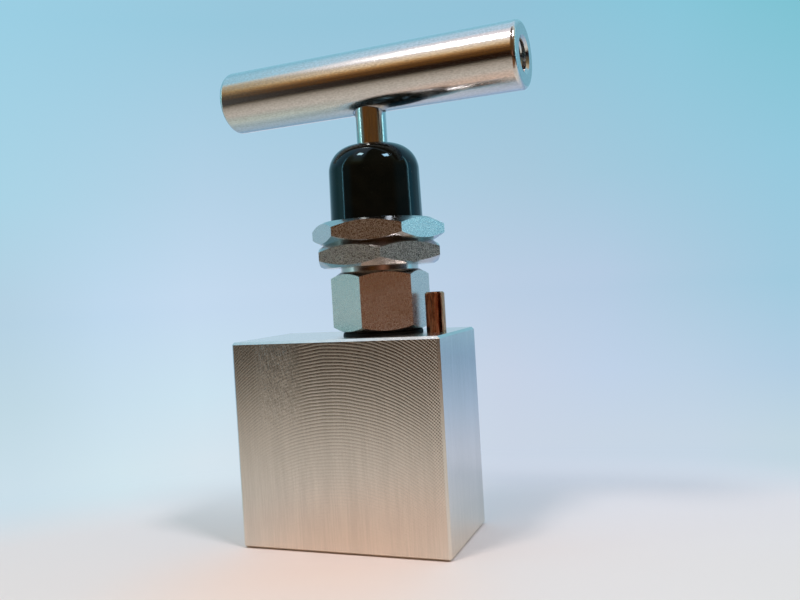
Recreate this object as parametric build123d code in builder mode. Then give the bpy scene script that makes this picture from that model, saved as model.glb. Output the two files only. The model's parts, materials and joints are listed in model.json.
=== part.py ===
from build123d import *
import os
from math import cos, radians, sin, tan

os.makedirs("parts", exist_ok=True)

# One-valve instrument block: an angle-pattern needle valve in a rectangular block,
# with a screwed bonnet, a rising stem with a swivelling tip, and a T bar.
# Origin: on the stem axis, in the block's bottom face. +Z runs up the stem,
# +X along the block's front face, +Y from the front face to the back.
# Lengths are in millimetres, angles in degrees.

# ---------------------------------------------------------------- driving sizes
# Block
block_width = 44.45
block_depth = 24.7
block_height = 42.0
block_edge = 0.5
stem_to_right_face = 15.875

# Ports: the tap-drill wall of a 1/4 inch taper pipe thread
port_radius = 5.56
port_depth = 14.3
port_mouth = 0.8
drill_half_angle = 59.0

# Flow passage, seat and chamber
orifice_radius = 2.38
seat_land = 2.3
seat_bevel = 0.15
chamber_gap = 0.7

# Fits
running_clearance = 0.05
thread_clearance = 0.05
closed_gap = 0.1
backseat_gap = 0.13

# Stem
stem_radius = 3.175
stem_thread_radius = 3.969
stem_thread_pitch = 25.4 / 24
opening_turns = 3.75
stem_thread_length = 14.0
stem_thread_bevel = 0.6
stem_top_bevel = 0.4
stem_flat_depth = 0.5

# Swivelling tip, swaged on to the stem's button
tip_radius = 3.9
tip_half_angle = 30.0
tip_nose_radius = 1.2
tip_shoulder_radius = 2.9
tip_floor = 1.1
tip_lip = 1.5
tip_bevel = 0.3
button_radius = 2.6
button_height = 2.1
button_neck_radius = 1.9

# Bonnet
bonnet_hex = 17.46
bonnet_hex_height = 12.2
bonnet_hex_turn = 28.1
bonnet_neck_radius = 7.9375
bonnet_neck_length = 14.6
bonnet_neck_bevel = 0.6
bonnet_shank_radius = 7.9375
bonnet_relief_radius = 7.1
bonnet_relief_depth = 1.1
bonnet_pilot_radius = 6.5
bonnet_pilot_length = 3.0
bonnet_floor = 3.0
hex_chamfer_inset = 0.65
hex_chamfer_angle = 30.0

# Weather seal under the bonnet hex
seal_height = 0.7
seal_recess = 0.5
seal_outer_radius = 8.2
seal_round = 0.4

# Bonnet lock pin: a slotted spring pin beside one flat of the hex
pin_radius = 1.97
pin_wall = 0.8
pin_length = 16.0
pin_height = 8.0
pin_slot = 0.7
pin_slot_turn = -46.0
pin_end_bevel = 0.3
pin_hole_clearance = 0.015
pin_hole_end_gap = 0.5
pin_to_flat = 0.9

# Packing
packing_radius = 5.1
packing_clearance = 0.02
packing_ring_count = 4
packing_ring_height = 1.8
packing_washer_height = 1.2
packing_edge = 0.15

# Packing adjuster
adjuster_thread_radius = 5.556
adjuster_nose_length = 6.0
adjuster_travel = 1.0
adjuster_hex = 12.7
adjuster_hex_height = 4.5
adjuster_hex_turn = 10.0
adjuster_entry_gap = 0.3
stem_thread_end_gap = 0.5

# Panel nuts
nut_hex = 23.81
nut_thickness = 4.6
nut_seat_gap = 0.95
lower_nut_turn = 53.2
upper_nut_turn = 11.6
nut_bore_bevel = 0.5

# Dust cap
cap_base_radius = 9.4
cap_waist_radius = 9.25
cap_height = 15.45
cap_shoulder_radius = 5.5
cap_wall = 1.6
cap_base_round = 0.25
cap_stem_clearance = 0.08

# T bar, and the screw in its end that clamps the stem
bar_radius = 6.5
bar_length = 65.0
bar_end_round = 0.9
bar_turn = -3.3
bar_to_cap = 6.5
bar_stem_cover = 3.0
bar_stem_bevel = 0.4
bar_bore_radius = 3.15
bar_bore_bevel = 0.5
screw_length = 9.5
screw_socket = 3.2
screw_socket_depth = 4.5
screw_bevel = 0.4

# ---------------------------------------------------------------- levels and mates
stem_lift = stem_thread_pitch * opening_turns
block_left = stem_to_right_face - block_width
block_centre = stem_to_right_face - block_width / 2

# Upwards from the inlet to the closed tip
port_cone = (port_radius - orifice_radius) / tan(radians(drill_half_angle))
seat_level = port_depth + port_cone + seat_land
tip_slope = tan(radians(tip_half_angle))
tip_contact_level = seat_level + closed_gap
tip_nose_level = tip_contact_level - (orifice_radius - tip_nose_radius) / tip_slope
tip_shoulder_level = tip_contact_level + (tip_shoulder_radius - orifice_radius) / tip_slope
socket_floor_level = tip_shoulder_level + tip_floor
button_top_level = socket_floor_level + button_height
tip_lip_level = button_top_level + running_clearance
tip_top_level = tip_lip_level + tip_lip
stem_shoulder_level = tip_top_level + running_clearance

# The open tip backs on to the end of the bonnet
chamber_radius = tip_radius + chamber_gap
bonnet_end_level = tip_top_level + stem_lift + backseat_gap
shank_level = bonnet_end_level + bonnet_pilot_length
outlet_level = (seat_level + bonnet_end_level) / 2

# Packing stack, then the adjuster that presses on it
packing_floor_level = bonnet_end_level + bonnet_floor
packing_low_level = packing_floor_level + packing_washer_height
packing_high_level = packing_low_level + packing_ring_count * packing_ring_height
gland_level = packing_high_level + packing_washer_height
adjuster_thread_level = gland_level + adjuster_nose_length
packing_bore_top = adjuster_thread_level - adjuster_travel - stem_thread_end_gap

# Bonnet hex and neck
hex_low_level = block_height + seal_height
hex_high_level = hex_low_level + bonnet_hex_height
neck_top_level = hex_high_level + bonnet_neck_length
adjuster_head_level = neck_top_level + adjuster_travel
adjuster_top_level = adjuster_head_level + adjuster_hex_height
stem_thread_low = adjuster_thread_level + stem_thread_end_gap
stem_thread_high = stem_thread_low + stem_thread_length
adjuster_guide_level = stem_thread_high + stem_lift + stem_thread_end_gap
stem_bore_radius = stem_radius + running_clearance

# Nuts, cap and bar
lower_nut_level = hex_high_level + nut_seat_gap
upper_nut_level = lower_nut_level + nut_thickness
cap_low_level = upper_nut_level + nut_thickness
cap_top_level = cap_low_level + cap_height
cap_shoulder_level = cap_top_level - cap_shoulder_radius
bar_level = cap_top_level + bar_to_cap + bar_radius
stem_top_level = bar_level + bar_radius - bar_stem_cover
bar_plane = Plane(origin=(0, 0, bar_level), x_dir=(0, 0, 1),
                  z_dir=(cos(radians(bar_turn)), sin(radians(bar_turn)), 0))
stem_flat_offset = stem_radius - stem_flat_depth
screw_radius = bar_bore_radius - thread_clearance

# Lock pin, on the middle of the hex flat that faces +X
pin_azimuth = bonnet_hex_turn - 30
pin_reach = bonnet_hex / 2 + pin_to_flat + pin_radius
pin_x = pin_reach * cos(radians(pin_azimuth))
pin_y = pin_reach * sin(radians(pin_azimuth))
pin_low_level = block_height + pin_height - pin_length


# ---------------------------------------------------------------- shared shapes
def hexagon(level, across_flats, turn):
    """Hexagon about the stem axis, with one corner at the angle turn."""
    with BuildSketch(Plane.XY.offset(level)) as outline:
        RegularPolygon(across_flats / 2, 6, major_radius=False, rotation=turn)
    return outline.sketch


def hex_envelope(low, high, across_flats, bevel_low=True):
    """Turned outline that bevels the corners of a hexagon at its ends."""
    flat = across_flats / 2 - hex_chamfer_inset
    reach = across_flats / 2 * 1.25
    drop = (reach - flat) * tan(radians(hex_chamfer_angle))
    low_drop = drop if bevel_low else 0
    with BuildSketch(Plane.XZ) as outline:
        with BuildLine():
            Polyline((0, low), (flat, low), (reach, low + low_drop),
                     (reach, high - drop), (flat, high), (0, high), close=True)
        make_face()
    return outline.sketch


def save(sub_part, name):
    """Label a finished sub-part and write its STEP file."""
    sub_part.label = name
    export_step(sub_part, f"parts/{name}.step")


# ---------------------------------------------------------------- valve block
with BuildPart() as valve_block:
    with BuildSketch(Plane.XY):
        with Locations((block_centre, 0)):
            Rectangle(block_width, block_depth)
    extrude(amount=block_height)
    chamfer(valve_block.edges(), length=block_edge)
    # Upright bore: inlet port, orifice, seat, chamber, and the bonnet's stepped hole
    thread_bore = bonnet_shank_radius + thread_clearance
    pilot_bore = bonnet_pilot_radius + running_clearance
    seal_bore = seal_outer_radius + running_clearance
    with BuildSketch(Plane.XZ):
        with BuildLine():
            Polyline(
                (0, 0), (port_radius + port_mouth, 0), (port_radius, port_mouth),
                (port_radius, port_depth), (orifice_radius, port_depth + port_cone),
                (orifice_radius, seat_level - seat_bevel),
                (orifice_radius + seat_bevel, seat_level),
                (chamber_radius, seat_level), (chamber_radius, bonnet_end_level),
                (pilot_bore, bonnet_end_level), (pilot_bore, shank_level - thread_clearance),
                (thread_bore, shank_level - thread_clearance),
                (thread_bore, block_height - seal_recess),
                (seal_bore, block_height - seal_recess),
                (seal_bore, block_height), (0, block_height), close=True)
        make_face()
    revolve(axis=Axis.Z, mode=Mode.SUBTRACT)
    # Outlet port in the left face, drilled through to the chamber
    outlet_cone = port_depth + port_cone
    with BuildSketch(Plane.XZ):
        with BuildLine():
            Polyline(
                (block_left, outlet_level), (block_left, outlet_level + port_radius + port_mouth),
                (block_left + port_mouth, outlet_level + port_radius),
                (block_left + port_depth, outlet_level + port_radius),
                (block_left + outlet_cone, outlet_level + orifice_radius),
                (-chamber_radius / 2, outlet_level + orifice_radius),
                (-chamber_radius / 2, outlet_level), close=True)
        make_face()
    revolve(axis=Axis((0, 0, outlet_level), (1, 0, 0)), mode=Mode.SUBTRACT)
    # Hole for the lock pin
    with BuildSketch(Plane.XY.offset(block_height)):
        with Locations((pin_x, pin_y)):
            Circle(pin_radius + pin_hole_clearance)
    extrude(amount=pin_low_level - pin_hole_end_gap - block_height, mode=Mode.SUBTRACT)
save(valve_block.part, "valve_block")

# ---------------------------------------------------------------- bonnet
with BuildPart() as bonnet:
    extrude(hexagon(hex_low_level, bonnet_hex, bonnet_hex_turn), amount=bonnet_hex_height)
    revolve(hex_envelope(hex_low_level, hex_high_level, bonnet_hex), axis=Axis.Z,
            mode=Mode.INTERSECT)
    # Shank, thread relief and pilot below the hex
    relief_level = block_height - bonnet_relief_depth
    with BuildSketch(Plane.XZ):
        with BuildLine():
            Polyline(
                (0, bonnet_end_level), (bonnet_pilot_radius, bonnet_end_level),
                (bonnet_pilot_radius, shank_level), (bonnet_shank_radius, shank_level),
                (bonnet_shank_radius, relief_level), (bonnet_relief_radius, relief_level),
                (bonnet_relief_radius, hex_low_level), (0, hex_low_level), close=True)
        make_face()
    revolve(axis=Axis.Z)
    # Neck, threaded for the panel nuts
    with BuildSketch(Plane.XZ):
        with BuildLine():
            Polyline(
                (0, hex_high_level), (bonnet_neck_radius, hex_high_level),
                (bonnet_neck_radius, neck_top_level - bonnet_neck_bevel),
                (bonnet_neck_radius - bonnet_neck_bevel, neck_top_level),
                (0, neck_top_level), close=True)
        make_face()
    revolve(axis=Axis.Z)
    # Stem hole, packing bore and the adjuster's thread
    adjuster_bore = adjuster_thread_radius + thread_clearance
    with BuildSketch(Plane.XZ):
        with BuildLine():
            Polyline(
                (0, bonnet_end_level), (stem_bore_radius, bonnet_end_level),
                (stem_bore_radius, packing_floor_level), (packing_radius, packing_floor_level),
                (packing_radius, packing_bore_top), (adjuster_bore, packing_bore_top),
                (adjuster_bore, neck_top_level), (0, neck_top_level), close=True)
        make_face()
    revolve(axis=Axis.Z, mode=Mode.SUBTRACT)
save(bonnet.part, "bonnet")

# ---------------------------------------------------------------- bonnet seal ring
seal_inner_radius = bonnet_relief_radius + running_clearance
with BuildPart() as bonnet_seal_ring:
    with BuildSketch(Plane.XZ):
        with BuildLine():
            Polyline(
                (seal_inner_radius, block_height - seal_recess),
                (seal_outer_radius, block_height - seal_recess),
                (seal_outer_radius, hex_low_level), (seal_inner_radius, hex_low_level),
                close=True)
        ring_face = make_face()
        fillet(ring_face.vertices(), seal_round)
    revolve(axis=Axis.Z)
save(bonnet_seal_ring.part, "bonnet_seal_ring")

# ---------------------------------------------------------------- bonnet lock pin
with BuildPart() as bonnet_lock_pin:
    with BuildSketch(Plane.XY.offset(pin_low_level)):
        with Locations((pin_x, pin_y)):
            Circle(pin_radius)
    extrude(amount=pin_length)
    chamfer(bonnet_lock_pin.edges(), length=pin_end_bevel)
    slot_centre = (pin_x + pin_radius * cos(radians(pin_slot_turn)),
                   pin_y + pin_radius * sin(radians(pin_slot_turn)))
    with BuildSketch(Plane.XY.offset(pin_low_level)):
        with Locations((pin_x, pin_y)):
            Circle(pin_radius - pin_wall)
        with Locations(slot_centre):
            Rectangle(2 * pin_radius, pin_slot, rotation=pin_slot_turn)
    extrude(amount=pin_length, mode=Mode.SUBTRACT)
save(bonnet_lock_pin.part, "bonnet_lock_pin")

# ---------------------------------------------------------------- packing
with BuildPart() as lower_packing_washer:
    with BuildSketch(Plane.XY.offset(packing_floor_level)):
        Circle(packing_radius - packing_clearance)
        Circle(stem_bore_radius, mode=Mode.SUBTRACT)
    extrude(amount=packing_washer_height)
    chamfer(lower_packing_washer.edges(), length=packing_edge)
save(lower_packing_washer.part, "lower_packing_washer")

for index in range(packing_ring_count):
    with BuildPart() as packing_ring:
        with BuildSketch(Plane.XY.offset(packing_low_level + index * packing_ring_height)):
            Circle(packing_radius - packing_clearance)
            Circle(stem_radius + packing_clearance, mode=Mode.SUBTRACT)
        extrude(amount=packing_ring_height)
        chamfer(packing_ring.edges(), length=packing_edge)
    save(packing_ring.part, f"packing_ring_{index + 1}")

with BuildPart() as upper_packing_washer:
    with BuildSketch(Plane.XY.offset(packing_high_level)):
        Circle(packing_radius - packing_clearance)
        Circle(stem_bore_radius, mode=Mode.SUBTRACT)
    extrude(amount=packing_washer_height)
    chamfer(upper_packing_washer.edges(), length=packing_edge)
save(upper_packing_washer.part, "upper_packing_washer")

# ---------------------------------------------------------------- packing adjuster
with BuildPart() as packing_adjuster:
    extrude(hexagon(adjuster_head_level, adjuster_hex, adjuster_hex_turn),
            amount=adjuster_hex_height)
    revolve(hex_envelope(adjuster_head_level, adjuster_top_level, adjuster_hex,
                         bevel_low=False), axis=Axis.Z, mode=Mode.INTERSECT)
    nose_radius = packing_radius - running_clearance
    with BuildSketch(Plane.XZ):
        with BuildLine():
            Polyline(
                (0, gland_level), (nose_radius, gland_level),
                (nose_radius, adjuster_thread_level),
                (adjuster_thread_radius, adjuster_thread_level),
                (adjuster_thread_radius, adjuster_head_level),
                (0, adjuster_head_level), close=True)
        make_face()
    revolve(axis=Axis.Z)
    # Entry bore, internal thread for the stem, and the guide bore above it
    entry_radius = stem_thread_radius + adjuster_entry_gap
    tapped_radius = stem_thread_radius + thread_clearance
    with BuildSketch(Plane.XZ):
        with BuildLine():
            Polyline(
                (0, gland_level), (entry_radius, gland_level),
                (entry_radius, adjuster_thread_level), (tapped_radius, adjuster_thread_level),
                (tapped_radius, adjuster_guide_level),
                (stem_bore_radius, adjuster_guide_level),
                (stem_bore_radius, adjuster_top_level), (0, adjuster_top_level), close=True)
        make_face()
    revolve(axis=Axis.Z, mode=Mode.SUBTRACT)
save(packing_adjuster.part, "packing_adjuster")

# ---------------------------------------------------------------- panel nuts
nut_places = {"lower_panel_nut": (lower_nut_level, lower_nut_turn),
              "upper_panel_nut": (upper_nut_level, upper_nut_turn)}
for nut_name, (nut_level, nut_turn) in nut_places.items():
    nut_bore = bonnet_neck_radius + thread_clearance
    nut_top = nut_level + nut_thickness
    with BuildPart() as panel_nut:
        extrude(hexagon(nut_level, nut_hex, nut_turn), amount=nut_thickness)
        revolve(hex_envelope(nut_level, nut_top, nut_hex), axis=Axis.Z, mode=Mode.INTERSECT)
        with BuildSketch(Plane.XZ):
            with BuildLine():
                Polyline(
                    (0, nut_level), (nut_bore + nut_bore_bevel, nut_level),
                    (nut_bore, nut_level + nut_bore_bevel), (nut_bore, nut_top - nut_bore_bevel),
                    (nut_bore + nut_bore_bevel, nut_top), (0, nut_top), close=True)
            make_face()
        revolve(axis=Axis.Z, mode=Mode.SUBTRACT)
    save(panel_nut.part, nut_name)

# ---------------------------------------------------------------- dust cap
cap_neck_bore = bonnet_neck_radius + running_clearance
cap_shoulder_centre = cap_waist_radius - cap_shoulder_radius
cap_inner_shoulder = cap_shoulder_radius - cap_wall
cap_inner_centre = cap_neck_bore - cap_inner_shoulder
cap_stem_bore = stem_radius + cap_stem_clearance
with BuildPart() as dust_cap:
    with BuildSketch(Plane.XZ):
        with BuildLine():
            Line((cap_neck_bore, cap_low_level), (cap_base_radius, cap_low_level))
            Line((cap_base_radius, cap_low_level), (cap_waist_radius, cap_shoulder_level))
            CenterArc((cap_shoulder_centre, cap_shoulder_level), cap_shoulder_radius, 0, 90)
            Line((cap_shoulder_centre, cap_top_level), (cap_stem_bore, cap_top_level))
            Line((cap_stem_bore, cap_top_level), (cap_stem_bore, cap_top_level - cap_wall))
            Line((cap_stem_bore, cap_top_level - cap_wall),
                 (cap_inner_centre, cap_top_level - cap_wall))
            CenterArc((cap_inner_centre, cap_shoulder_level), cap_inner_shoulder, 0, 90)
            Line((cap_neck_bore, cap_shoulder_level), (cap_neck_bore, cap_low_level))
        make_face()
    revolve(axis=Axis.Z)
    base_rim = dust_cap.edges().filter_by(GeomType.CIRCLE).group_by(Axis.Z)[0].sort_by(SortBy.RADIUS)
    fillet(base_rim[-1], radius=cap_base_round)
save(dust_cap.part, "dust_cap")

# ---------------------------------------------------------------- needle tip
with BuildPart() as needle_tip:
    lip_bore = button_neck_radius + running_clearance
    socket_bore = button_radius + running_clearance
    with BuildSketch(Plane.XZ):
        with BuildLine():
            Polyline(
                (0, tip_nose_level), (tip_nose_radius, tip_nose_level),
                (tip_shoulder_radius, tip_shoulder_level), (tip_radius, tip_shoulder_level),
                (tip_radius, tip_top_level - tip_bevel), (tip_radius - tip_bevel, tip_top_level),
                (lip_bore, tip_top_level), (lip_bore, tip_lip_level),
                (socket_bore, tip_lip_level), (socket_bore, socket_floor_level),
                (0, socket_floor_level), close=True)
        make_face()
    revolve(axis=Axis.Z)
save(needle_tip.part, "needle_tip")

# ---------------------------------------------------------------- stem
with BuildPart() as stem:
    thread_step = stem_thread_radius - stem_radius
    with BuildSketch(Plane.XZ):
        with BuildLine():
            Polyline(
                (0, socket_floor_level), (button_radius, socket_floor_level),
                (button_radius, button_top_level), (button_neck_radius, button_top_level),
                (button_neck_radius, stem_shoulder_level), (stem_radius, stem_shoulder_level),
                (stem_radius, stem_thread_low),
                (stem_thread_radius, stem_thread_low + stem_thread_bevel),
                (stem_thread_radius, stem_thread_high - stem_thread_bevel),
                (stem_radius, stem_thread_high),
                (stem_radius, stem_top_level - stem_top_bevel),
                (stem_radius - stem_top_bevel, stem_top_level),
                (0, stem_top_level), close=True)
        make_face()
    revolve(axis=Axis.Z)
    # Flat for the clamping screw, cut from the bar's underside to the stem's end
    flat_length = stem_top_level - (bar_level - bar_radius)
    with BuildSketch(bar_plane.offset(stem_flat_offset)):
        with Locations((stem_top_level - bar_level - flat_length / 2, 0)):
            Rectangle(flat_length, 2 * stem_radius)
    extrude(amount=stem_radius, mode=Mode.SUBTRACT)
save(stem.part, "stem")

# ---------------------------------------------------------------- T bar
with BuildPart() as t_bar:
    with BuildSketch(bar_plane.offset(-bar_length / 2)):
        Circle(bar_radius)
    extrude(amount=bar_length)
    fillet(t_bar.edges().filter_by(GeomType.CIRCLE), radius=bar_end_round)
    # Stem hole, up from the underside, with a beveled mouth
    stem_hole = stem_radius + packing_clearance
    bar_underside = bar_level - bar_radius
    with BuildSketch(Plane.XZ):
        with BuildLine():
            Polyline(
                (0, bar_underside), (stem_hole + bar_stem_bevel, bar_underside),
                (stem_hole + bar_stem_bevel, bar_underside + bar_stem_bevel),
                (stem_hole, bar_underside + 2 * bar_stem_bevel),
                (stem_hole, stem_top_level + running_clearance),
                (0, stem_top_level + running_clearance), close=True)
        make_face()
    revolve(axis=Axis.Z, mode=Mode.SUBTRACT)
    # Tapped hole along the bar from its right end to the stem hole
    bore_start = stem_flat_offset
    with BuildSketch(bar_plane.offset(bore_start)):
        Circle(bar_bore_radius)
    extrude(amount=bar_length / 2 - bore_start, mode=Mode.SUBTRACT)
    bore_mouth = t_bar.edges().filter_by(GeomType.CIRCLE).sort_by(Axis.X)[-2:]
    chamfer(bore_mouth.sort_by(SortBy.RADIUS)[0], length=bar_bore_bevel)
save(t_bar.part, "t_bar")

# ---------------------------------------------------------------- handle set screw
with BuildPart() as handle_set_screw:
    with BuildSketch(bar_plane.offset(stem_flat_offset)):
        Circle(screw_radius)
    extrude(amount=screw_length)
    chamfer(handle_set_screw.edges().filter_by(GeomType.CIRCLE), length=screw_bevel)
    with BuildSketch(bar_plane.offset(stem_flat_offset + screw_length)):
        RegularPolygon(screw_socket / 2, 6, major_radius=False)
    extrude(amount=-screw_socket_depth, mode=Mode.SUBTRACT)
save(handle_set_screw.part, "handle_set_screw")
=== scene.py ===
import json
import math

import bmesh
import bpy
from mathutils import Matrix, Vector


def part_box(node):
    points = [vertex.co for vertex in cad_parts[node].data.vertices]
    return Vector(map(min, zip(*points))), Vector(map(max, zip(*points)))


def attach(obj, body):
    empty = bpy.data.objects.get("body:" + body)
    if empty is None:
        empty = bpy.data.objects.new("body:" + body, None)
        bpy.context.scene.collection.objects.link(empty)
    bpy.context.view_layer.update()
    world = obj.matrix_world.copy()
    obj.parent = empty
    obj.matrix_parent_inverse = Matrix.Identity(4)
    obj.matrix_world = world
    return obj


# The looks of the instrument block valve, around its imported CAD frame.
# Everything is in metres in the part's own frame: the origin is on the stem axis in
# the block's bottom face, +Z runs up the stem, and -Y faces the viewer.
# Materials work in millimetres of object space, so that they stay on a part that moves.

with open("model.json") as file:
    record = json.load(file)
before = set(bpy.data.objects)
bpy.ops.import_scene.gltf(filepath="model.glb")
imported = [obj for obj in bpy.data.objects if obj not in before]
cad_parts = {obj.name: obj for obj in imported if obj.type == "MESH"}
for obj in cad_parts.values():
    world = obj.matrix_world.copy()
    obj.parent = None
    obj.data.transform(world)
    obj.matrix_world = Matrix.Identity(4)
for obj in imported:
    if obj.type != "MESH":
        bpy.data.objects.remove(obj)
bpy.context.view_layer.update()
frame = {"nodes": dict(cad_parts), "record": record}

MM = 0.001
PER_MM = 1000.0
TINY = 0.001

# ------------------------------------------------------------------ view and studio
CAMERA_PLACE = (61.615 * MM, -152.226 * MM, 52.147 * MM)
CAMERA_YAW = math.radians(-20.72)
CAMERA_PITCH = math.radians(1.218)
CAMERA_ROLL = math.radians(3.372)
CAMERA_LENS = 36.07
CAMERA_SENSOR = 36.0
CAMERA_CLIP = (0.005, 10.0)

FLOOR_RADIUS = 3.0
FLOOR_CORNERS = 96
FLOOR_DROP = 0.02 * MM
# The centre of a painted warm pool of light on the sheet in front of the block.
WARM_LIGHT_POOL_SPOT = (-6.0 * MM, -35.0 * MM, 0.0)
# The spot on the floor under the photo's camera, and the camera's height over it, rounded.
# The far floor takes its tint by direction and distance from this fixed spot.
VIEWING_SPOT = (62.0 * MM, -152.0 * MM, 0.0)
VIEWING_HEIGHT = 52.0 * MM

LAMP_DISTANCE = 0.5
# in watts for each square metre of a lamp's face
LAMP_POWER = 112.0
LAMP_TARGET = Vector((0.0, 0.0, 60.0 * MM))


def rgb(red, green, blue):
    """A colour written in 8-bit sRGB, as linear RGBA. Over 255 is brighter than white."""
    def linear(value):
        value /= 255.0
        return value / 12.92 if value <= 0.04045 else ((value + 0.055) / 1.055) ** 2.4
    return (linear(red), linear(green), linear(blue), 1.0)


# The backdrop's ends, as the share of a level direction that points along +X, and its
# colours at the horizon from left to right. The floor's far end has the same colours.
BACKDROP_LEFT, BACKDROP_RIGHT = -0.8, 0.4
BACKDROP_LOW = [(0.06, rgb(182, 210, 228)), (0.12, rgb(190, 216, 237)),
                (0.185, rgb(196, 218, 239)), (0.47, rgb(187, 206, 228)),
                (0.57, rgb(182, 204, 227)), (0.655, rgb(172, 203, 224)),
                (0.74, rgb(161, 202, 223))]
LAMP_WHITE_WARM = rgb(255, 248, 240)
LAMP_WHITE_COOL = rgb(252, 248, 255)
EDGE_LIGHT = (3.4, 6.2, 6.8, 1.0)


class Shader:
    """Builds a node tree. node gives the node that it adds, and parts gives three outputs.
    Every other method gives one output socket."""

    def __init__(self, tree):
        self.tree = tree
        tree.nodes.clear()

    def node(self, kind, inputs=(), **props):
        made = self.tree.nodes.new("ShaderNode" + kind)
        for name, value in props.items():
            setattr(made, name, value)
        for key, value in dict(inputs).items():
            if isinstance(value, bpy.types.NodeSocket):
                self.tree.links.new(value, made.inputs[key])
            else:
                made.inputs[key].default_value = value
        return made

    def math(self, operation, *values):
        return self.node("Math", enumerate(values), operation=operation).outputs[0]

    def product(self, *values):
        result = values[0]
        for value in values[1:]:
            result = self.math("MULTIPLY", result, value)
        return result

    def vector(self, operation, *values):
        made = self.node("VectorMath", enumerate(values), operation=operation)
        scalar = operation in ("DOT_PRODUCT", "LENGTH", "DISTANCE")
        return made.outputs["Value" if scalar else "Vector"]

    def parts(self, vector):
        return self.node("SeparateXYZ", {0: vector}).outputs

    def joined(self, x, y, z):
        return self.node("CombineXYZ", {0: x, 1: y, 2: z}).outputs[0]

    def off_axis(self, x, y):
        """The distance of a point from the Z axis."""
        return self.vector("LENGTH", self.joined(x, y, 0.0))

    def band(self, value, start, end, low=0.0, high=1.0, kind="SMOOTHSTEP"):
        """low before start, high after end, and a smooth step between them."""
        inputs = {0: value, 1: start, 2: end, 3: low, 4: high}
        return self.node("MapRange", inputs, interpolation_type=kind).outputs[0]

    def window(self, value, start, full, fading, end):
        """1 from full to fading, 0 before start and after end."""
        return self.product(self.band(value, start, full), self.band(value, end, fading))

    def mix(self, factor, a, b, blend="MIX"):
        made = self.node("Mix", {0: factor, 6: a, 7: b}, data_type="RGBA", blend_type=blend)
        return made.outputs[2]

    def tinted(self, factor, colour, tint):
        """colour, multiplied by tint where factor is 1."""
        return self.mix(factor, colour, self.mix(1.0, colour, tint, "MULTIPLY"))

    def ramp(self, factor, stops):
        made = self.node("ValToRGB", {0: factor})
        elements = made.color_ramp.elements
        while len(elements) > 1:
            elements.remove(elements[-1])
        for index, (place, colour) in enumerate(stops):
            element = elements[0] if index == 0 else elements.new(place)
            element.position = place
            element.color = colour
        return made.outputs[0]

    def noise(self, vector, scale, detail=2.0, roughness=0.5):
        inputs = {"Vector": vector, "Scale": scale, "Detail": detail, "Roughness": roughness}
        return self.node("TexNoise", inputs).outputs[0]

    def bump(self, height):
        """height is in millimetres."""
        return self.node("Bump", {"Height": height, "Distance": MM}).outputs[0]


# ------------------------------------------------------------------ camera
def make_camera():
    forward = Vector((math.sin(CAMERA_YAW) * math.cos(CAMERA_PITCH),
                      math.cos(CAMERA_YAW) * math.cos(CAMERA_PITCH),
                      -math.sin(CAMERA_PITCH)))
    level = Vector((math.cos(CAMERA_YAW), -math.sin(CAMERA_YAW), 0.0))
    under = forward.cross(level)
    right = math.cos(CAMERA_ROLL) * level + math.sin(CAMERA_ROLL) * under
    down = -math.sin(CAMERA_ROLL) * level + math.cos(CAMERA_ROLL) * under
    turn = Matrix((right, -down, -forward)).transposed().to_4x4()
    data = bpy.data.cameras.new("camera")
    data.sensor_width = CAMERA_SENSOR
    data.lens = CAMERA_LENS
    data.clip_start, data.clip_end = CAMERA_CLIP
    camera = bpy.data.objects.new("camera", data)
    camera.matrix_world = Matrix.Translation(CAMERA_PLACE) @ turn
    bpy.context.scene.collection.objects.link(camera)
    bpy.context.scene.camera = camera


# ------------------------------------------------------------------ world
def seen_backdrop(s, rightness, rise):
    """What the camera sees: three heights of the backdrop, each from left to right."""
    across = s.band(rightness, BACKDROP_LEFT, BACKDROP_RIGHT, kind="LINEAR")
    low = s.ramp(across, BACKDROP_LOW)
    middle = s.ramp(across, [(0.05, rgb(170, 212, 230)), (0.2, rgb(181, 210, 231)),
                             (0.5, rgb(169, 201, 221)), (0.78, rgb(146, 201, 222))])
    high = s.ramp(across, [(0.05, rgb(155, 207, 228)), (0.25, rgb(152, 199, 220)),
                           (0.5, rgb(146, 195, 217)), (0.65, rgb(135, 198, 218)),
                           (0.76, rgb(121, 194, 209))])
    seen = s.mix(s.band(rise, 0.0, 0.12, kind="LINEAR"), low, middle)
    return s.mix(s.band(rise, 0.12, 0.31, kind="LINEAR"), seen, high)


def mirrored_horizon(s, turn):
    """The level ring round the object: pale tent, bright left edge, dark warm room with a
    brown patch right of its middle, bright right edge, and tent again."""
    return s.ramp(turn, [
        (0.0, rgb(171, 209, 236)), (0.04, rgb(190, 218, 240)), (0.065, rgb(230, 238, 252)),
        (0.1, rgb(226, 240, 256)), (0.14, rgb(188, 214, 236)), (0.19, rgb(152, 186, 200)),
        (0.28, rgb(165, 208, 220)), (0.3, rgb(186, 234, 244)), (0.322, rgb(241, 288, 303)),
        (0.337, rgb(125, 156, 163)), (0.365, rgb(133, 143, 143)), (0.39, rgb(84, 80, 76)),
        (0.41, rgb(58, 46, 38)), (0.435, rgb(34, 18, 10)), (0.475, rgb(52, 28, 12)),
        (0.5, rgb(92, 56, 18)), (0.53, rgb(70, 42, 20)), (0.556, rgb(118, 78, 58)),
        (0.575, rgb(140, 98, 80)), (0.59, rgb(160, 112, 90)), (0.62, rgb(114, 76, 56)),
        (0.65, rgb(36, 27, 22)), (0.71, rgb(26, 22, 22)), (0.735, rgb(40, 33, 40)),
        (0.8, rgb(62, 72, 90)), (0.82, rgb(190, 240, 268)), (0.84, rgb(146, 244, 284)),
        (0.87, rgb(157, 203, 230)), (1.0, rgb(171, 209, 236))])


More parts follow.
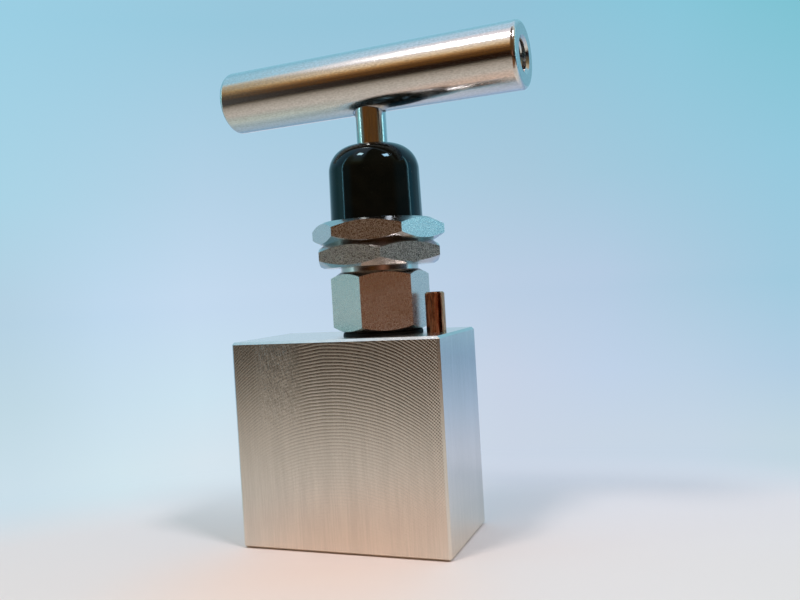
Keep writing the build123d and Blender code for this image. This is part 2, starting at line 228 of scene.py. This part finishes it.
def mirrored_tent(s, turn, rise):
    """The blue-white tent behind the object: by turn low down, by height further up."""
    low = s.ramp(turn, [
        (0.0, rgb(165, 219, 243)), (0.03, rgb(176, 218, 240)), (0.06, rgb(200, 226, 244)),
        (0.1, rgb(198, 234, 256)), (0.125, rgb(192, 242, 266)), (0.15, rgb(146, 200, 221)),
        (0.22, rgb(116, 178, 194)), (0.26, rgb(112, 186, 192)), (0.29, rgb(160, 235, 238)),
        (0.305, rgb(172, 242, 243)), (0.325, rgb(208, 272, 270)), (0.84, rgb(116, 228, 262)),
        (0.88, rgb(133, 193, 216)), (0.94, rgb(126, 184, 207)), (0.97, rgb(155, 210, 234)),
        (1.0, rgb(165, 219, 243))])
    high = s.ramp(rise, [(0.35, rgb(140, 200, 222)), (0.57, rgb(158, 220, 243)),
                         (0.75, rgb(155, 216, 242)), (0.84, rgb(182, 236, 260)),
                         (0.92, rgb(218, 248, 270))])
    return s.mix(s.band(rise, 0.2, 0.4), low, high)


def mirrored_room(s, turn, rise):
    """The warm room in front, dark low down and bright above, but dark all the way up on
    its right side."""
    left = s.ramp(rise, [(0.05, rgb(62, 38, 16)), (0.15, rgb(106, 68, 28)),
                         (0.27, rgb(98, 62, 30)), (0.42, rgb(184, 132, 76)),
                         (0.5, rgb(236, 192, 136)), (0.57, rgb(268, 238, 198)),
                         (0.66, rgb(268, 244, 220)), (0.75, rgb(272, 262, 252)),
                         (1.0, rgb(250, 250, 262))])
    corner = s.ramp(rise, [(0.05, rgb(50, 32, 18)), (0.15, rgb(98, 66, 32)),
                           (0.3, rgb(100, 70, 38)), (0.55, rgb(112, 80, 46)),
                           (0.8, rgb(104, 76, 46)), (1.0, rgb(84, 64, 44))])
    return s.mix(s.band(turn, 0.445, 0.5), left, corner)


def mirrored_surroundings(s, turn, rise):
    """What reflections see. turn is 0.5 in front, 0.25 at the left and 0.75 at the right,
    and rise is 0 at the horizon and 1 straight up."""
    flank = s.ramp(rise, [(0.05, rgb(100, 112, 112)), (0.2, rgb(90, 116, 112)),
                          (0.5, rgb(158, 138, 98)), (0.7, rgb(206, 188, 156)),
                          (0.9, rgb(235, 240, 235))])
    in_room = s.window(turn, 0.365, 0.41, 0.68, 0.74)
    in_flank = s.window(turn, 0.322, 0.332, 0.806, 0.818)
    front = s.mix(in_room, flank, mirrored_room(s, turn, rise))
    upper = s.mix(in_flank, mirrored_tent(s, turn, rise), front)

    # a white panel over the viewer's left shoulder, whose left edge slants back as it rises
    slant, slant_from = 0.4, 0.75
    left_edge = s.math("ADD", turn, s.product(s.math("SUBTRACT", rise, slant_from), slant))
    panel = s.product(s.band(left_edge, 0.352, 0.378), s.band(turn, 0.5, 0.455),
                      s.band(rise, 0.69, 0.775))
    upper = s.mix(panel, upper, rgb(266, 259, 266))

    # the tent's bright front edges at the left and right, each with a thin brighter line
    edges_below = s.band(rise, 0.85, 0.4)
    glow = s.math("ADD", s.window(turn, 0.305, 0.321, 0.326, 0.334),
                  s.window(turn, 0.81, 0.816, 0.822, 0.84))
    upper = s.mix(s.product(glow, edges_below), upper, rgb(215, 275, 280))
    line = s.math("ADD", s.window(turn, 0.318, 0.3205, 0.323, 0.3255),
                  s.window(turn, 0.8215, 0.824, 0.8265, 0.829))
    upper = s.mix(s.product(line, edges_below), upper, EDGE_LIGHT)
    return s.mix(s.band(rise, 0.02, 0.14), mirrored_horizon(s, turn), upper)


def make_world():
    """A pale studio for the camera. Reflections see a blue-white tent behind the object,
    with bright edges, and a dark, warm room in front of it."""
    world = bpy.data.worlds.new("studio")
    bpy.context.scene.world = world
    world.use_nodes = True
    s = Shader(world.node_tree)
    x, y, rise = s.parts(s.node("TexCoord").outputs["Generated"])
    rightness = s.math("DIVIDE", x, s.math("MAXIMUM", s.off_axis(x, y), TINY))
    around = s.math("ARCTAN2", x, s.product(y, -1.0))
    turn = s.math("ADD", s.math("DIVIDE", around, 2.0 * math.pi), 0.5)
    is_camera = s.node("LightPath").outputs["Is Camera Ray"]
    colour = s.mix(is_camera, mirrored_surroundings(s, turn, rise),
                   seen_backdrop(s, rightness, rise))
    background = s.node("Background", {"Color": colour, "Strength": 1.0})
    s.node("OutputWorld", {"Surface": background.outputs[0]})


def make_lamp(name, azimuth, elevation, width, height, colour):
    """A soft box, seen from the object at an azimuth from +X towards +Y and an elevation,
    both in degrees. Its width and height are in metres."""
    data = bpy.data.lights.new(name, "AREA")
    data.shape = "RECTANGLE"
    data.size, data.size_y = width, height
    data.energy = LAMP_POWER * width * height
    data.color = colour[:3]
    lamp = bpy.data.objects.new(name, data)
    a, e = math.radians(azimuth), math.radians(elevation)
    out = Vector((math.cos(a) * math.cos(e), math.sin(a) * math.cos(e), math.sin(e)))
    lamp.location = LAMP_TARGET + out * LAMP_DISTANCE
    lamp.rotation_euler = (-out).to_track_quat("-Z", "Y").to_euler()
    lamp.visible_camera = False
    bpy.context.scene.collection.objects.link(lamp)


# ------------------------------------------------------------------ floor
def near_sheet(s, place, reach, is_camera):
    """The sheet close to the object, with a painted warm pool of light in front of it. In
    reflections only, its colour is multiplied by painted shade and light: darker on the viewer's
    side of the room, brighter than white near the object, bluer at the back, brown at the right
    front and slightly cooler at the left."""
    x, y, _ = s.parts(place)
    near = s.ramp(s.band(y, -0.08, 0.06, kind="LINEAR"),
                  [(0.0, rgb(225, 215, 209)), (0.55, rgb(225, 215, 213)),
                   (1.0, rgb(227, 219, 224))])
    near = s.tinted(s.band(x, 0.02, 0.14), near, rgb(246, 250, 246))
    # A painted warm pool of light on the sheet in front of the block.
    warm = s.vector("DISTANCE", place, WARM_LIGHT_POOL_SPOT)
    near = s.mix(s.band(warm, 0.045, 0.008, 0.0, 0.9), near, rgb(234, 211, 199))

    # Painted shade and light for reflections: dark towards the viewer, brighter than white near
    # the object.
    mirrored = s.ramp(s.band(y, -0.5, 0.5, kind="LINEAR"),
                      [(0.0, rgb(28, 20, 14)), (0.15, rgb(84, 68, 52)),
                       (0.27, rgb(184, 170, 153)), (0.36, rgb(226, 213, 199)),
                       (0.41, rgb(246, 235, 222)), (0.44, rgb(258, 246, 234)),
                       (0.47, rgb(264, 252, 240)), (0.495, rgb(286, 276, 262)),
                       (0.52, rgb(266, 266, 264)), (0.58, rgb(250, 256, 264)),
                       (0.67, rgb(230, 251, 272)), (0.85, rgb(210, 241, 273))])
    rightness = s.math("DIVIDE", x, s.math("MAXIMUM", reach, TINY))
    # A painted brown reflection at the right front, and a painted cooler cast at the left.
    right_front = s.product(s.band(rightness, 0.1, 0.45), s.band(y, -0.05, -0.1))
    mirrored = s.tinted(right_front, mirrored, rgb(160, 118, 88))
    left_side = s.product(s.band(x, -0.035, -0.065), s.band(y, -0.07, -0.02))
    mirrored = s.tinted(left_side, mirrored, rgb(226, 242, 240))
    return s.mix(is_camera, s.mix(1.0, near, mirrored, "MULTIPLY"), near)


def far_sheet(s, place):
    """What the camera sees of the sheet far away, where it runs into the backdrop. Gives its
    colour, and slope: the tangent of its angle below the horizon from the photo's camera."""
    from_spot = s.vector("SUBTRACT", place, VIEWING_SPOT)
    distance = s.math("MAXIMUM", s.vector("LENGTH", from_spot), TINY)
    slope = s.math("DIVIDE", VIEWING_HEIGHT, distance)
    rightness = s.math("DIVIDE", s.parts(from_spot)[0], distance)
    across = s.band(rightness, BACKDROP_LEFT, BACKDROP_RIGHT, kind="LINEAR")
    far = s.ramp(across, BACKDROP_LOW)
    middle = s.ramp(across, [(0.06, rgb(193, 217, 229)), (0.12, rgb(200, 223, 237)),
                             (0.185, rgb(204, 227, 240)), (0.47, rgb(199, 211, 230)),
                             (0.57, rgb(192, 210, 232)), (0.655, rgb(187, 209, 229)),
                             (0.74, rgb(178, 206, 227))])
    front = s.ramp(across, [(0.06, rgb(203, 223, 234)), (0.12, rgb(209, 229, 238)),
                            (0.185, rgb(214, 229, 238)), (0.47, rgb(202, 213, 229)),
                            (0.655, rgb(198, 214, 229)), (0.74, rgb(194, 214, 226))])
    far = s.mix(s.band(slope, 0.02, 0.12, kind="LINEAR"), far, middle)
    return s.mix(s.band(slope, 0.12, 0.2, kind="LINEAR"), far, front), slope


def paper_sweep():
    """A pale sheet whose shadowed part is near the object. Further out it fades: into the
    backdrop's colour for the camera, and into the world for reflections."""
    material = bpy.data.materials.new("paper_sweep")
    material.use_nodes = True
    s = Shader(material.node_tree)
    place = s.node("TexCoord").outputs["Object"]
    reach = s.vector("LENGTH", place)
    is_camera = s.node("LightPath").outputs["Is Camera Ray"]
    near = near_sheet(s, place, reach, is_camera)
    far, slope = far_sheet(s, place)

    lit = s.node("BsdfDiffuse", {"Color": near}).outputs[0]
    glow = s.node("Emission", {"Color": far, "Strength": 1.0}).outputs[0]
    open_air = s.node("BsdfTransparent").outputs[0]
    distant = s.node("MixShader", {0: is_camera, 1: open_air, 2: glow}).outputs[0]
    seen_fade = s.product(is_camera, s.band(slope, 0.275, 0.215))
    mirrored_fade = s.product(s.math("SUBTRACT", 1.0, is_camera), s.band(reach, 0.4, 0.65))
    fade = s.math("ADD", seen_fade, mirrored_fade)
    surface = s.node("MixShader", {0: fade, 1: lit, 2: distant}).outputs[0]
    s.node("OutputMaterial", {"Surface": surface})
    return material


def make_floor():
    """A round sheet just under the part, so that the two don't share a plane."""
    mesh = bpy.data.meshes.new("floor")
    bm = bmesh.new()
    bmesh.ops.create_circle(bm, cap_ends=True, segments=FLOOR_CORNERS, radius=FLOOR_RADIUS)
    bm.to_mesh(mesh)
    bm.free()
    mesh.materials.append(paper_sweep())
    floor = bpy.data.objects.new("floor", mesh)
    floor.location = (0.0, 0.0, -FLOOR_DROP)
    bpy.context.scene.collection.objects.link(floor)


# ------------------------------------------------------------------ materials
def new_material(name):
    """A material and its Shader, with the place in millimetres and the way a face points."""
    material = bpy.data.materials.new(name)
    material.use_nodes = True
    s = Shader(material.node_tree)
    coords = s.node("TexCoord")
    place = s.vector("MULTIPLY", coords.outputs["Object"], (PER_MM,) * 3)
    return material, s, place, coords.outputs["Normal"]


def finish_shader(s, **inputs):
    """Ends a material with one Principled shader. Underscores in names stand for spaces."""
    named = {key.replace("_", " "): value for key, value in inputs.items()}
    bsdf = s.node("BsdfPrincipled", named)
    s.node("OutputMaterial", {"Surface": bsdf.outputs[0]})


def scaled(s, vector, x, y, z):
    return s.vector("MULTIPLY", vector, (x, y, z))


def around_axis(s, place, pitch_scale):
    """Noise coordinates for a part turned about Z: long round it, short along and across."""
    ring_scale = 0.3
    x, y, z = s.parts(place)
    radius = s.math("MAXIMUM", s.off_axis(x, y), 0.01)
    return s.joined(s.product(s.math("DIVIDE", x, radius), ring_scale),
                    s.product(s.math("DIVIDE", y, radius), ring_scale),
                    s.product(s.math("ADD", z, radius), pitch_scale))


def is_upright(s, facing):
    """1 on upright faces, 0 on ends and bevels."""
    _, _, z = s.parts(facing)
    return s.band(s.math("ABSOLUTE", z), 0.25, 0.1)


def tone(s, factor, dark, light):
    return s.mix(s.band(factor, 0.35, 0.65), dark, light)


def mill_marks(s, place):
    """Height of the cutter's marks on the block's front and back, in millimetres."""
    x, _, z = s.parts(place)
    cutter_radius, crest_x, feed = 31.5, -6.3, 0.65
    across = s.math("SUBTRACT", x, crest_x)
    drop = s.math("SUBTRACT", cutter_radius ** 2, s.product(across, across))
    arch = s.math("SQRT", s.math("MAXIMUM", drop, 1.0))
    wander = s.product(s.noise(place, 0.15), 0.8)
    phase = s.math("ADD", s.math("DIVIDE", s.math("SUBTRACT", z, arch), feed), wander)
    cusp = s.math("ABSOLUTE", s.math("SINE", s.product(phase, math.pi)))
    # high up near the left side, a worn strip has upright chatter and shallow arches
    strip = s.product(s.window(x, -24.0, -21.5, -16.0, -10.5), s.band(z, 20.0, 30.0))
    chatter = s.noise(scaled(s, place, 3.2, 3.2, 0.45), 1.0, 3.0, 0.7)
    # the arches are deepest at the top and the right, and under half as deep low down
    depth = s.product(s.band(z, 12.0, 38.0, 0.0045, 0.0105), s.band(x, -2.0, 13.0, 1.0, 1.5),
                      s.band(x, -23.0, -16.0, 0.45, 1.0), s.band(strip, 0.0, 1.0, 1.0, 0.25))
    marks = s.math("ADD", s.product(cusp, depth), s.product(chatter, strip, 0.07))
    # faint return marks cross the arches at the right side
    slanted = s.math("SUBTRACT", z, s.product(x, 1.1))
    return_marks = s.math("SINE", s.product(slanted, 2.0 * math.pi / feed))
    return s.math("ADD", marks, s.product(return_marks, s.band(x, 12.0, 14.5, 0.0, 0.004)))


def milled_steel():
    """Block: face-milled front and back with arched cutter marks, ground sides."""
    material, s, place, facing = new_material("milled_steel")
    _, facing_y, _ = s.parts(facing)
    milled = s.band(s.math("ABSOLUTE", facing_y), 0.8, 0.95)
    grain = s.noise(place, 4.0, 3.0, 0.6)
    # upright rub marks, fine and broad
    streaks = s.noise(scaled(s, place, 3.5, 3.5, 0.12), 1.0, 3.0, 0.6)
    bands = s.noise(scaled(s, place, 0.35, 0.35, 0.015), 1.0, 2.0, 0.6)
    skin = s.math("ADD", s.product(grain, 0.004), s.product(streaks, milled, 0.0009))
    height = s.math("ADD", skin, s.product(mill_marks(s, place), milled))
    rubbed = s.math("ADD", s.product(streaks, 0.55), s.product(bands, 0.45))
    colour = s.mix(s.band(rubbed, 0.36, 0.64), rgb(201, 199, 195), rgb(213, 210, 206))
    finish_shader(s, Base_Color=colour, Metallic=1.0,
                  Roughness=s.band(grain, 0.3, 0.7, 0.19, 0.25), Normal=s.bump(height))
    return material


def bead_steel(name, grain_size, flats_from, dark, light):
    """Hex stock: sandy flats, whose grains are partly glossy and partly dull, and smooth
    turned ends, bevels and round parts. The flats lie further than flats_from from the axis."""
    material, s, place, facing = new_material(name)
    x, y, _ = s.parts(place)
    flat = s.product(is_upright(s, facing), s.band(s.off_axis(x, y), flats_from - 0.2, flats_from))
    grain = s.noise(place, 1.0 / grain_size, 3.0, 0.7)
    dull = s.product(s.band(grain, 0.4, 0.62), flat)
    rings = s.noise(around_axis(s, place, 6.0), 1.0, 3.0, 0.6)
    height = s.math("ADD", s.product(grain, flat, 0.017), s.product(rings, 0.002))
    roughness = s.math("ADD", s.band(rings, 0.3, 0.7, 0.14, 0.2), s.product(dull, 0.22))
    finish_shader(s, Base_Color=s.mix(dull, dark, light), Metallic=1.0,
                  Roughness=roughness, Normal=s.bump(height))
    return material


def round_bar_steel(name, along, stretch, grain_size, relief, roughness, anisotropy):
    """Bright round stock: small dull pits drawn out along the axis, and a gloss spread
    along it. relief is the pits' depth in millimetres."""
    material, s, place, _ = new_material(name)
    lengthwise = s.product(s.vector("DOT_PRODUCT", place, tuple(along)), stretch)
    offset = s.joined(*[s.product(lengthwise, part) for part in along])
    pits = s.noise(s.vector("SUBTRACT", place, offset), 1.0 / grain_size, 3.0, 0.65)
    finish_shader(s, Base_Color=tone(s, pits, rgb(190, 189, 187), rgb(212, 211, 210)),
                  Metallic=1.0,
                  Roughness=s.band(pits, 0.35, 0.65, roughness + 0.05, roughness - 0.04),
                  Anisotropic=anisotropy, Tangent=s.joined(*along),
                  Normal=s.bump(s.product(pits, relief)))
    return material


def rolled_pin_steel():
    """Spring pin: rolled strip, brown, with streaks along it."""
    material, s, place, _ = new_material("spring_steel")
    streaks = s.noise(scaled(s, place, 3.0, 3.0, 0.4), 1.0, 3.0, 0.6)
    finish_shader(s, Base_Color=tone(s, streaks, rgb(168, 108, 78), rgb(214, 156, 120)),
                  Metallic=1.0, Roughness=s.band(streaks, 0.3, 0.7, 0.22, 0.34),
                  Normal=s.bump(s.product(streaks, 0.012)))
    return material


def black_oxide_steel():
    """The set screw in the bar."""
    material, s, place, _ = new_material("screw_steel")
    grain = s.noise(place, 4.0, 4.0, 0.6)
    finish_shader(s, Base_Color=tone(s, grain, rgb(46, 44, 44), rgb(70, 66, 64)),
                  Metallic=1.0, Roughness=s.band(grain, 0.3, 0.7, 0.35, 0.5),
                  Normal=s.bump(s.product(grain, 0.006)))
    return material


def packing_ptfe():
    """Packing rings: waxy white, with faint turning marks."""
    material, s, place, _ = new_material("packing_ptfe")
    cloud = s.noise(place, 1.5, 3.0)
    rings = s.noise(around_axis(s, place, 5.0), 1.0)
    finish_shader(s, Base_Color=tone(s, cloud, rgb(226, 224, 216), rgb(240, 239, 234)),
                  Roughness=s.band(cloud, 0.3, 0.7, 0.4, 0.55),
                  Normal=s.bump(s.product(rings, 0.006)))
    return material


def seal_rubber():
    """Seal ring: dull black rubber; its faint brown cast is a painted reflection of brown glints.
    """
    material, s, place, _ = new_material("seal_rubber")
    grain = s.noise(place, 5.0, 3.0, 0.6)
    # The brown in these near-blacks is a painted reflection.
    finish_shader(s, Base_Color=tone(s, grain, rgb(10, 8, 7), rgb(22, 18, 15)),
                  Roughness=s.band(grain, 0.3, 0.7, 0.5, 0.7), Specular_IOR_Level=0.15,
                  Normal=s.bump(s.product(grain, 0.01)))
    return material


def cap_vinyl():
    """Glossy dipped vinyl: a smooth black skin with a faint unevenness. Its cyan specular tint is
    a painted bluish cast on its reflections.
    """
    material, s, place, _ = new_material("cap_vinyl")
    swell = s.noise(place, 0.35)
    pores = s.noise(place, 5.0)
    height = s.math("ADD", s.product(swell, 0.02), s.product(pores, 0.0006))
    # The cyan Specular Tint paints a bluish cast into the cap's reflections.
    finish_shader(s, Base_Color=tone(s, swell, rgb(10, 11, 9), rgb(15, 15, 12)),
                  Roughness=s.band(pores, 0.3, 0.7, 0.03, 0.07), Normal=s.bump(height),
                  Specular_IOR_Level=0.25, Specular_Tint=rgb(168, 228, 255))
    return material


BAR_TURN = math.radians(-3.3)
BAR_DIRECTION = Vector((math.cos(BAR_TURN), math.sin(BAR_TURN), 0.0))
STEM_DIRECTION = Vector((0.0, 0.0, 1.0))


def make_materials():
    """One material for each of the record's slots."""
    return {
        "milled_steel": milled_steel(),
        "turned_steel": bead_steel("turned_steel", grain_size=0.17, flats_from=8.5,
                                   dark=rgb(196, 189, 182), light=rgb(228, 220, 212)),
        "nut_steel": bead_steel("nut_steel", grain_size=0.15, flats_from=11.0,
                                dark=rgb(180, 177, 174), light=rgb(228, 226, 224)),
        "bar_steel": round_bar_steel("bar_steel", BAR_DIRECTION, stretch=0.6, grain_size=0.2,
                                     relief=0.009, roughness=0.14, anisotropy=0.35),
        "stem_steel": round_bar_steel("stem_steel", STEM_DIRECTION, stretch=0.9,
                                      grain_size=0.25, relief=0.012, roughness=0.12,
                                      anisotropy=0.4),
        "spring_steel": rolled_pin_steel(),
        "screw_steel": black_oxide_steel(),
        "packing_ptfe": packing_ptfe(),
        "seal_rubber": seal_rubber(),
        "cap_vinyl": cap_vinyl(),
    }


# ------------------------------------------------------------------ pieces
THREAD_STEPS = 48
THREAD_EMBED = 0.05 * MM
THREAD_LEAST_RISE = 0.02 * MM
# a crest's section: how far its foot and its flat top reach along the axis, in pitches
THREAD_FOOT, THREAD_TOP = 0.42, 0.07


def helix_ridge(name, centre, axis, wall_radius, start, end, pitch, height, look):
    """A thread's crest inside a bore: a ridge wound along the axis from the mouth inwards,
    standing in from the wall, and fading out over half a turn at both ends."""
    side = axis.orthogonal().normalized()
    other = axis.cross(side)
    turns = (end - start) / pitch
    count = int(turns * THREAD_STEPS)
    points, faces = [], []
    for i in range(count + 1):
        turn = turns * i / count
        fade = min(1.0, 2.0 * turn, 2.0 * (turns - turn))
        rise = max(height * fade, THREAD_LEAST_RISE)
        angle = 2.0 * math.pi * turn
        out = math.cos(angle) * side + math.sin(angle) * other
        along = start + pitch * turn
        for depth, offset in ((-THREAD_EMBED, -THREAD_FOOT), (rise, -THREAD_TOP),
                              (rise, THREAD_TOP), (-THREAD_EMBED, THREAD_FOOT)):
            points.append(centre + out * (wall_radius - depth) + axis * (along + offset * pitch))
    for i in range(count):
        a, b = 4 * i, 4 * i + 4
        for k in range(4):
            n = (k + 1) % 4
            faces.append((a + k, a + n, b + n, b + k))
    last = 4 * count
    faces.append((0, 3, 2, 1))
    faces.append((last, last + 1, last + 2, last + 3))
    mesh = bpy.data.meshes.new(name)
    mesh.from_pydata(points, [], faces)
    mesh.validate()
    mesh.update()
    mesh.materials.append(look)
    ridge = bpy.data.objects.new(name, mesh)
    bpy.context.scene.collection.objects.link(ridge)
    return ridge


INCH = 25.4 * MM
PIPE_THREAD_PITCH = INCH / 18
PIPE_THREAD_HEIGHT = 0.5 * MM
PIPE_THREAD_LEAD_IN = 0.3 * MM
PIPE_THREAD_RUN_OUT = 0.5 * MM
BAR_THREAD_PITCH = INCH / 28
BAR_THREAD_HEIGHT = 0.3 * MM
BAR_THREAD_LEAD_IN = 1.0 * MM
BAR_HALF_LENGTH = 32.5 * MM
BAR_BORE_RADIUS = 3.15 * MM
BAR_SCREW_END = 12.6 * MM


def port_threads(look):
    """The taper pipe threads in the two ports, from their mounts in the record."""
    for mount in frame["record"]["mounts"]:
        if mount["kind"] != "threaded_hole":
            continue
        middle, out = Vector(mount["pos_m"]), Vector(mount["axis"]).normalized()
        length = mount["dims"]["length_mm"] * MM
        ridge = helix_ridge(mount["name"] + "_thread", middle + out * (length / 2), -out,
                            mount["dims"]["r_mm"] * MM, PIPE_THREAD_LEAD_IN,
                            length - PIPE_THREAD_RUN_OUT, PIPE_THREAD_PITCH,
                            PIPE_THREAD_HEIGHT, look)
        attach(ridge, "body")


def bar_thread(look):
    """The fine thread in the T bar's end bore, from its mouth down to the set screw."""
    low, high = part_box("t_bar")
    middle = (Vector(low) + Vector(high)) / 2
    ridge = helix_ridge("bar_bore_thread", middle + BAR_DIRECTION * BAR_HALF_LENGTH,
                        -BAR_DIRECTION, BAR_BORE_RADIUS, BAR_THREAD_LEAD_IN,
                        BAR_HALF_LENGTH - BAR_SCREW_END, BAR_THREAD_PITCH,
                        BAR_THREAD_HEIGHT, look)
    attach(ridge, "handle")


def dress(materials):
    """Gives every CAD node the material of its slot in the record."""
    slots = {part["node"]: part["material_slot"] for part in frame["record"]["subparts"]}
    for name, node in frame["nodes"].items():
        node.data.materials.clear()
        node.data.materials.append(materials[slots[name]])


bpy.context.scene.view_settings.view_transform = "Standard"

make_camera()
make_world()
make_floor()
make_lamp("key_left", azimuth=-118, elevation=60, width=0.095, height=0.08,
          colour=LAMP_WHITE_WARM)
make_lamp("key_right", azimuth=-25, elevation=51, width=0.105, height=0.09,
          colour=LAMP_WHITE_COOL)
materials = make_materials()
dress(materials)
port_threads(materials["milled_steel"])
bar_thread(materials["bar_steel"])
